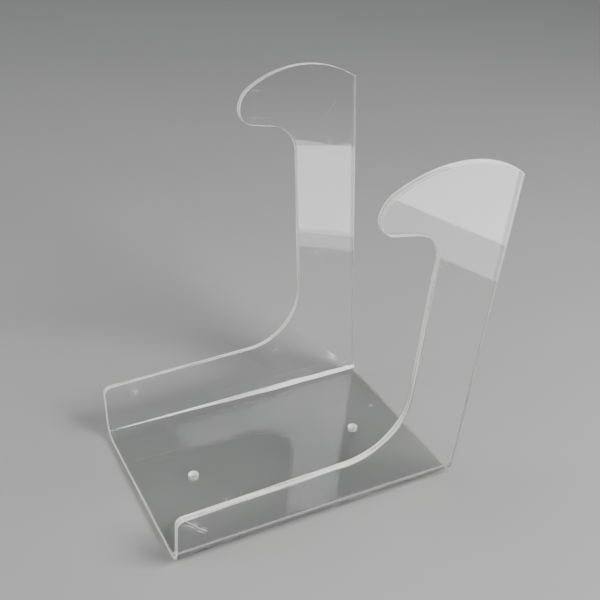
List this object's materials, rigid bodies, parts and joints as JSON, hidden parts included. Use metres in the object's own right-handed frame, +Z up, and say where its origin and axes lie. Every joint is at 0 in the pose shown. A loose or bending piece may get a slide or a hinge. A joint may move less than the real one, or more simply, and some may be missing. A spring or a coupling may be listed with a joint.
{
  "type": "magazine rack",
  "caption": "Clear acrylic magazine rack bent from one sheet: flat drilled base between two leaning side panels with low fronts, rear posts and forward hooks.",
  "frame": {"origin": "centre of the underside of the base, on the plane it rests on", "axes": "+X across the rack from one side panel to the other, +Y from the low open front to the tall posts at the back, +Z up"},
  "size_m": [0.1918, 0.2, 0.2471],
  "materials": {
    "clear_acrylic": "polished clear acrylic, sawn edges"
  },
  "bodies": {
    "root": {"bent_acrylic_sheet": "clear_acrylic"}
  },
  "joints": []
}
